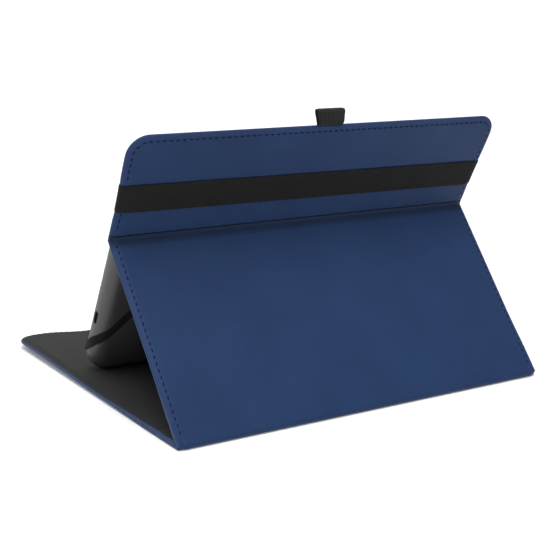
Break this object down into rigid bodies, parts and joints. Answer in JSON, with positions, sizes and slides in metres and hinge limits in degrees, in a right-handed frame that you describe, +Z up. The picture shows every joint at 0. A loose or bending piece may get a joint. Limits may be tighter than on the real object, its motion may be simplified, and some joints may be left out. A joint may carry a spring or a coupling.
{
  "type": "tablet keyboard case",
  "caption": "Folio case standing on its kickstand panel: soft leather cover folding on creased hinges, a strapped holder tray for a tablet and a small detachable keyboard on the front cover.",
  "frame": {"origin": "middle of the footprint, on the surface the case stands on", "axes": "+X along the folds, +Y towards the rear fold where the kickstand meets the table, +Z up; a user sits on the -Y side"},
  "size_m": [0.262, 0.2171, 0.1693],
  "materials": {
    "leather_blue": "grained navy synthetic leather, low sheen",
    "lining": "short-napped grey microfibre",
    "board": "raw pressed board",
    "steel_disc": "plain disc magnets",
    "elastic": "woven black elastic",
    "tray_plastic": "fine matt grey",
    "tray_felt": "soft grey felt",
    "bond_pad": "black foam bonding pad",
    "keyboard_shell": "fine-textured black",
    "keycap": "smooth matt black",
    "pcb": "solder-masked board",
    "dome": "translucent silicone",
    "cell_foil": "foil pouch",
    "port_steel": "plated",
    "lens": "clear pipe",
    "foot_rubber": "matt",
    "screw_steel": "black oxide"
  },
  "bodies": {
    "front_cover": {"front_cover_skin": "leather_blue", "front_cover_board": "board", "front_cover_lining": "lining", "cover_magnets": "steel_disc"},
    "spine": {"spine_skin": "leather_blue", "spine_board": "board", "spine_lining": "lining"},
    "stand": {"stand_skin": "leather_blue", "stand_board": "board", "stand_lining": "lining"},
    "crease_strip": {"crease_strip": "leather_blue"},
    "upper": {"upper_skin": "leather_blue", "upper_board": "board", "upper_lining": "lining", "elastic_band": "elastic", "pen_loop": "elastic", "tray_mount_pad": "bond_pad", "holder_tray": "tray_plastic", "port_grommet": "foot_rubber", "tray_pad": "tray_felt", "strap_lower_left": "elastic", "strap_lower_right": "elastic", "strap_upper_left": "elastic", "strap_upper_right": "elastic", "strap_anchors": "elastic"},
    "keyboard": {"keyboard_base": "keyboard_shell", "keyboard_deck": "keyboard_shell", "keyboard_pcb": "pcb", "dome_sheet": "dome", "battery": "cell_foil", "charge_port": "port_steel", "indicator_lenses": "lens", "keyboard_magnets": "steel_disc", "rubber_feet": "foot_rubber", "keyboard_screws": "screw_steel"},
    "power_switch": {"power_switch": "keyboard_shell"},
    "keys_number_row": {"keys_number_row": "keycap"},
    "keys_upper_row": {"keys_upper_row": "keycap"},
    "keys_home_row": {"keys_home_row": "keycap"},
    "keys_lower_row": {"keys_lower_row": "keycap"},
    "keys_modifiers": {"keys_modifiers": "keycap"},
    "key_backspace": {"key_backspace": "keycap"},
    "key_tab": {"key_tab": "keycap"},
    "key_caps": {"key_caps": "keycap"},
    "key_enter": {"key_enter": "keycap"},
    "key_shift_left": {"key_shift_left": "keycap"},
    "key_shift_right": {"key_shift_right": "keycap"},
    "key_space": {"key_space": "keycap"},
    "key_arrow_left": {"key_arrow_left": "keycap"},
    "key_arrow_up": {"key_arrow_up": "keycap"},
    "key_arrow_down": {"key_arrow_down": "keycap"},
    "key_arrow_right": {"key_arrow_right": "keycap"}
  },
  "joints": [
    {"name": "front_cover_fold", "type": "hinge", "parent": "front_cover", "child": "spine", "pos_m": [0, 0.08365, 0.002], "axis": [1, 0, 0], "range_deg": [-90, 0]},
    {"name": "stand_fold", "type": "hinge", "parent": "spine", "child": "stand", "pos_m": [0, 0.10665, 0.002], "axis": [-1, 0, 0], "range_deg": [0, 130]},
    {"name": "crease_lower_fold", "type": "hinge", "parent": "stand", "child": "crease_strip", "pos_m": [0, 0.02694, 0.09699], "axis": [1, 0, 0], "range_deg": [0, 64.7]},
    {"name": "crease_upper_fold", "type": "hinge", "parent": "crease_strip", "child": "upper", "pos_m": [0, 0.02882, 0.10108], "axis": [-1, 0, 0], "range_deg": [0, 100]},
    {"name": "keyboard_lift", "type": "slide", "parent": "front_cover", "child": "keyboard", "axis": [0, 0, 1], "range_m": [0, 0.05]},
    {"name": "power_switch_slide", "type": "slide", "parent": "keyboard", "child": "power_switch", "axis": [0, 1, 0], "range_m": [0, 0.0026]},
    {"name": "keys_number_row_press", "type": "slide", "parent": "keyboard", "child": "keys_number_row", "axis": [0, 0, -1], "range_m": [0, 0.0012], "stiffness_N_per_m": 300},
    {"name": "keys_upper_row_press", "type": "slide", "parent": "keyboard", "child": "keys_upper_row", "axis": [0, 0, -1], "range_m": [0, 0.0012], "stiffness_N_per_m": 300},
    {"name": "keys_home_row_press", "type": "slide", "parent": "keyboard", "child": "keys_home_row", "axis": [0, 0, -1], "range_m": [0, 0.0012], "stiffness_N_per_m": 300},
    {"name": "keys_lower_row_press", "type": "slide", "parent": "keyboard", "child": "keys_lower_row", "axis": [0, 0, -1], "range_m": [0, 0.0012], "stiffness_N_per_m": 300},
    {"name": "keys_modifiers_press", "type": "slide", "parent": "keyboard", "child": "keys_modifiers", "axis": [0, 0, -1], "range_m": [0, 0.0012], "stiffness_N_per_m": 300},
    {"name": "key_backspace_press", "type": "slide", "parent": "keyboard", "child": "key_backspace", "axis": [0, 0, -1], "range_m": [0, 0.0012], "stiffness_N_per_m": 300},
    {"name": "key_tab_press", "type": "slide", "parent": "keyboard", "child": "key_tab", "axis": [0, 0, -1], "range_m": [0, 0.0012], "stiffness_N_per_m": 300},
    {"name": "key_caps_press", "type": "slide", "parent": "keyboard", "child": "key_caps", "axis": [0, 0, -1], "range_m": [0, 0.0012], "stiffness_N_per_m": 300},
    {"name": "key_enter_press", "type": "slide", "parent": "keyboard", "child": "key_enter", "axis": [0, 0, -1], "range_m": [0, 0.0012], "stiffness_N_per_m": 300},
    {"name": "key_shift_left_press", "type": "slide", "parent": "keyboard", "child": "key_shift_left", "axis": [0, 0, -1], "range_m": [0, 0.0012], "stiffness_N_per_m": 300},
    {"name": "key_shift_right_press", "type": "slide", "parent": "keyboard", "child": "key_shift_right", "axis": [0, 0, -1], "range_m": [0, 0.0012], "stiffness_N_per_m": 300},
    {"name": "key_space_press", "type": "slide", "parent": "keyboard", "child": "key_space", "axis": [0, 0, -1], "range_m": [0, 0.0012], "stiffness_N_per_m": 300},
    {"name": "key_arrow_left_press", "type": "slide", "parent": "keyboard", "child": "key_arrow_left", "axis": [0, 0, -1], "range_m": [0, 0.0012], "stiffness_N_per_m": 300},
    {"name": "key_arrow_up_press", "type": "slide", "parent": "keyboard", "child": "key_arrow_up", "axis": [0, 0, -1], "range_m": [0, 0.0012], "stiffness_N_per_m": 300},
    {"name": "key_arrow_down_press", "type": "slide", "parent": "keyboard", "child": "key_arrow_down", "axis": [0, 0, -1], "range_m": [0, 0.0012], "stiffness_N_per_m": 300},
    {"name": "key_arrow_right_press", "type": "slide", "parent": "keyboard", "child": "key_arrow_right", "axis": [0, 0, -1], "range_m": [0, 0.0012], "stiffness_N_per_m": 300}
  ],
  "couplings": [
    {"joint": "crease_lower_fold", "follows": "stand_fold", "ratio": 0.4976}
  ]
}
